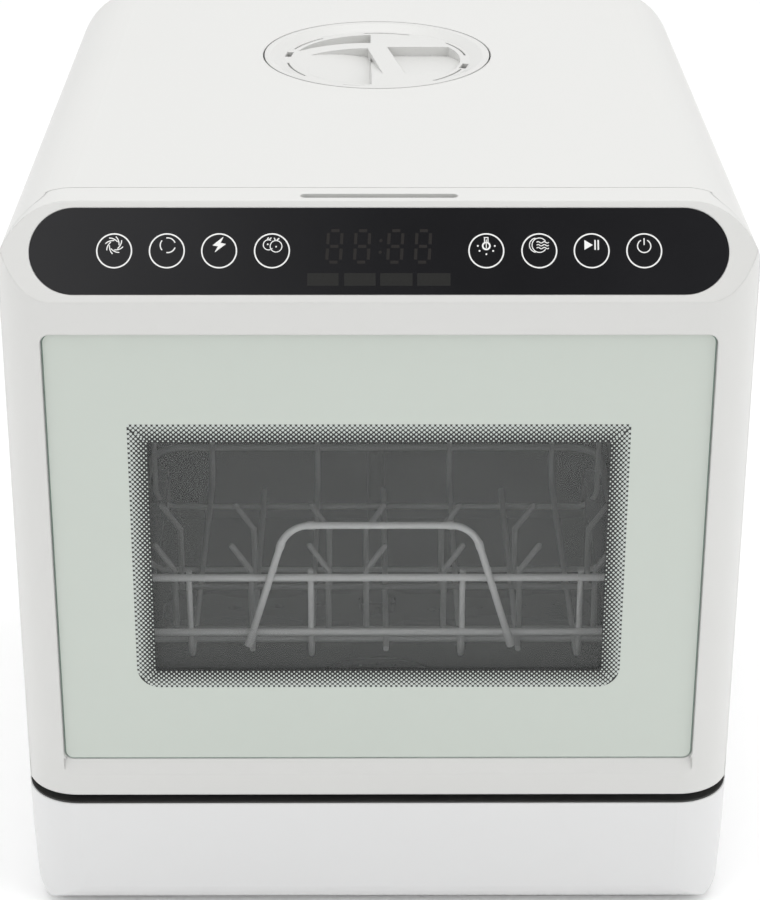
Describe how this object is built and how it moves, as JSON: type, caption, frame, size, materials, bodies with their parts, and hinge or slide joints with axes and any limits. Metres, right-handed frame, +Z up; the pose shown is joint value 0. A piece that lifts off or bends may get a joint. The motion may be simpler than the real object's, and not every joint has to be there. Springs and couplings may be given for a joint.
{
  "type": "countertop dishwasher",
  "caption": "Compact countertop dishwasher with drop-down window door, sloping touch panel, pull-out wire rack, spray arms and lift-off fill cap.",
  "frame": {"origin": "centre of the footprint on the worktop, under the middle of the overall box", "axes": "+Z up, -Y out of the door, +X to the right of someone facing the door"},
  "size_m": [0.4188, 0.445, 0.441],
  "materials": {
    "shell_white": "satin white moulding",
    "base_white": "satin white moulding",
    "rear_grey": "fine texture",
    "pan_grey": "fine texture",
    "rubber_black": "matt",
    "trim_black": "matt black",
    "frame_grey": "satin",
    "seal_grey": "matt",
    "tub_grey": "dark satin polypropylene",
    "inner_grey": "satin",
    "filter_steel": "brushed",
    "filter_blue": "satin",
    "arm_grey": "satin",
    "lamp_lens": "frosted",
    "motor_black": "satin",
    "heater_steel": "brushed",
    "board_green": "solder mask",
    "tank_white": "translucent polypropylene",
    "valve_white": "satin",
    "zinc": "zinc plated",
    "screw_steel": "zinc plated",
    "glass_green": "back-painted glass with a clear window",
    "glass_clear": "clear",
    "panel_black": "gloss black",
    "display_black": "gloss black",
    "rack_coat": "light grey nylon-coated wire",
    "rack_plastic": "satin",
    "cap_white": "satin white moulding"
  },
  "bodies": {
    "cabinet": {"outer_wrap": "shell_white", "rear_cover": "rear_grey", "base_plinth": "base_white", "base_pan": "pan_grey", "rubber_feet": "rubber_black", "gap_trim": "trim_black", "front_frame": "frame_grey", "door_gasket": "seal_grey", "tub": "tub_grey", "sump_bowl": "inner_grey", "filter_plate": "filter_steel", "arm_post": "inner_grey", "feed_pipe": "inner_grey", "rack_rails": "rack_plastic", "chamber_lamp": "lamp_lens", "wash_pump": "motor_black", "heater_can": "heater_steel", "drain_pump": "motor_black", "power_board": "board_green", "water_tank": "tank_white", "fill_funnel": "tank_white", "level_sensor": "motor_black", "inlet_valve": "valve_white", "drain_fitting": "inner_grey", "cable_gland": "trim_black", "fan_case": "motor_black", "hinge_brackets": "zinc", "hinge_pins": "zinc", "latch_strike": "zinc", "rear_screws": "screw_steel", "base_screws": "screw_steel", "frame_screws": "screw_steel", "lower_arm_nut": "inner_grey", "upper_arm_nut": "inner_grey"},
    "door": {"door_frame": "shell_white", "door_glass": "glass_green", "glass_seal": "seal_grey", "door_liner": "frame_grey", "inner_glass": "glass_clear", "console_cover": "frame_grey", "touch_panel": "panel_black", "display_module": "display_black", "touch_board": "board_green", "grip_pocket": "shell_white", "latch_hook": "zinc", "door_screws": "screw_steel"},
    "rack": {"rack_rim": "rack_coat", "rack_floor": "rack_coat", "rack_tines": "rack_coat", "rack_handle": "rack_coat", "rack_shoes": "rack_plastic"},
    "lower_spray": {"lower_arm": "arm_grey"},
    "upper_spray": {"upper_arm": "arm_grey"},
    "filter": {"filter_cup": "filter_blue"},
    "cap": {"fill_cap": "cap_white", "cap_seal": "seal_grey"},
    "fan": {"fan_rotor": "arm_grey"}
  },
  "joints": [
    {"name": "door_hinge", "type": "hinge", "parent": "cabinet", "child": "door", "pos_m": [0, -0.213, 0.087], "axis": [1, 0, 0], "range_deg": [0, 90]},
    {"name": "rack_slide", "type": "slide", "parent": "cabinet", "child": "rack", "axis": [0, -1, 0], "range_m": [0, 0.13]},
    {"name": "lower_spray_turn", "type": "hinge", "parent": "cabinet", "child": "lower_spray", "pos_m": [0, -0.0515, 0.107], "axis": [0, 0, 1], "continuous": true},
    {"name": "upper_spray_turn", "type": "hinge", "parent": "cabinet", "child": "upper_spray", "pos_m": [0, -0.0515, 0.341], "axis": [0, 0, 1], "continuous": true},
    {"name": "filter_twist", "type": "hinge", "parent": "cabinet", "child": "filter", "pos_m": [0, -0.1345, 0.08], "axis": [0, 0, 1], "range_deg": [0, 40]},
    {"name": "cap_lift", "type": "slide", "parent": "cabinet", "child": "cap", "axis": [0, 0, 1], "range_m": [0, 0.06]},
    {"name": "fan_spin", "type": "hinge", "parent": "cabinet", "child": "fan", "pos_m": [0.118, 0.1275, 0.33], "axis": [0, 1, 0], "continuous": true}
  ],
  "couplings": [
    {"joint": "rack_slide", "follows": "door_hinge", "m_per_rad": 0.0825}
  ]
}
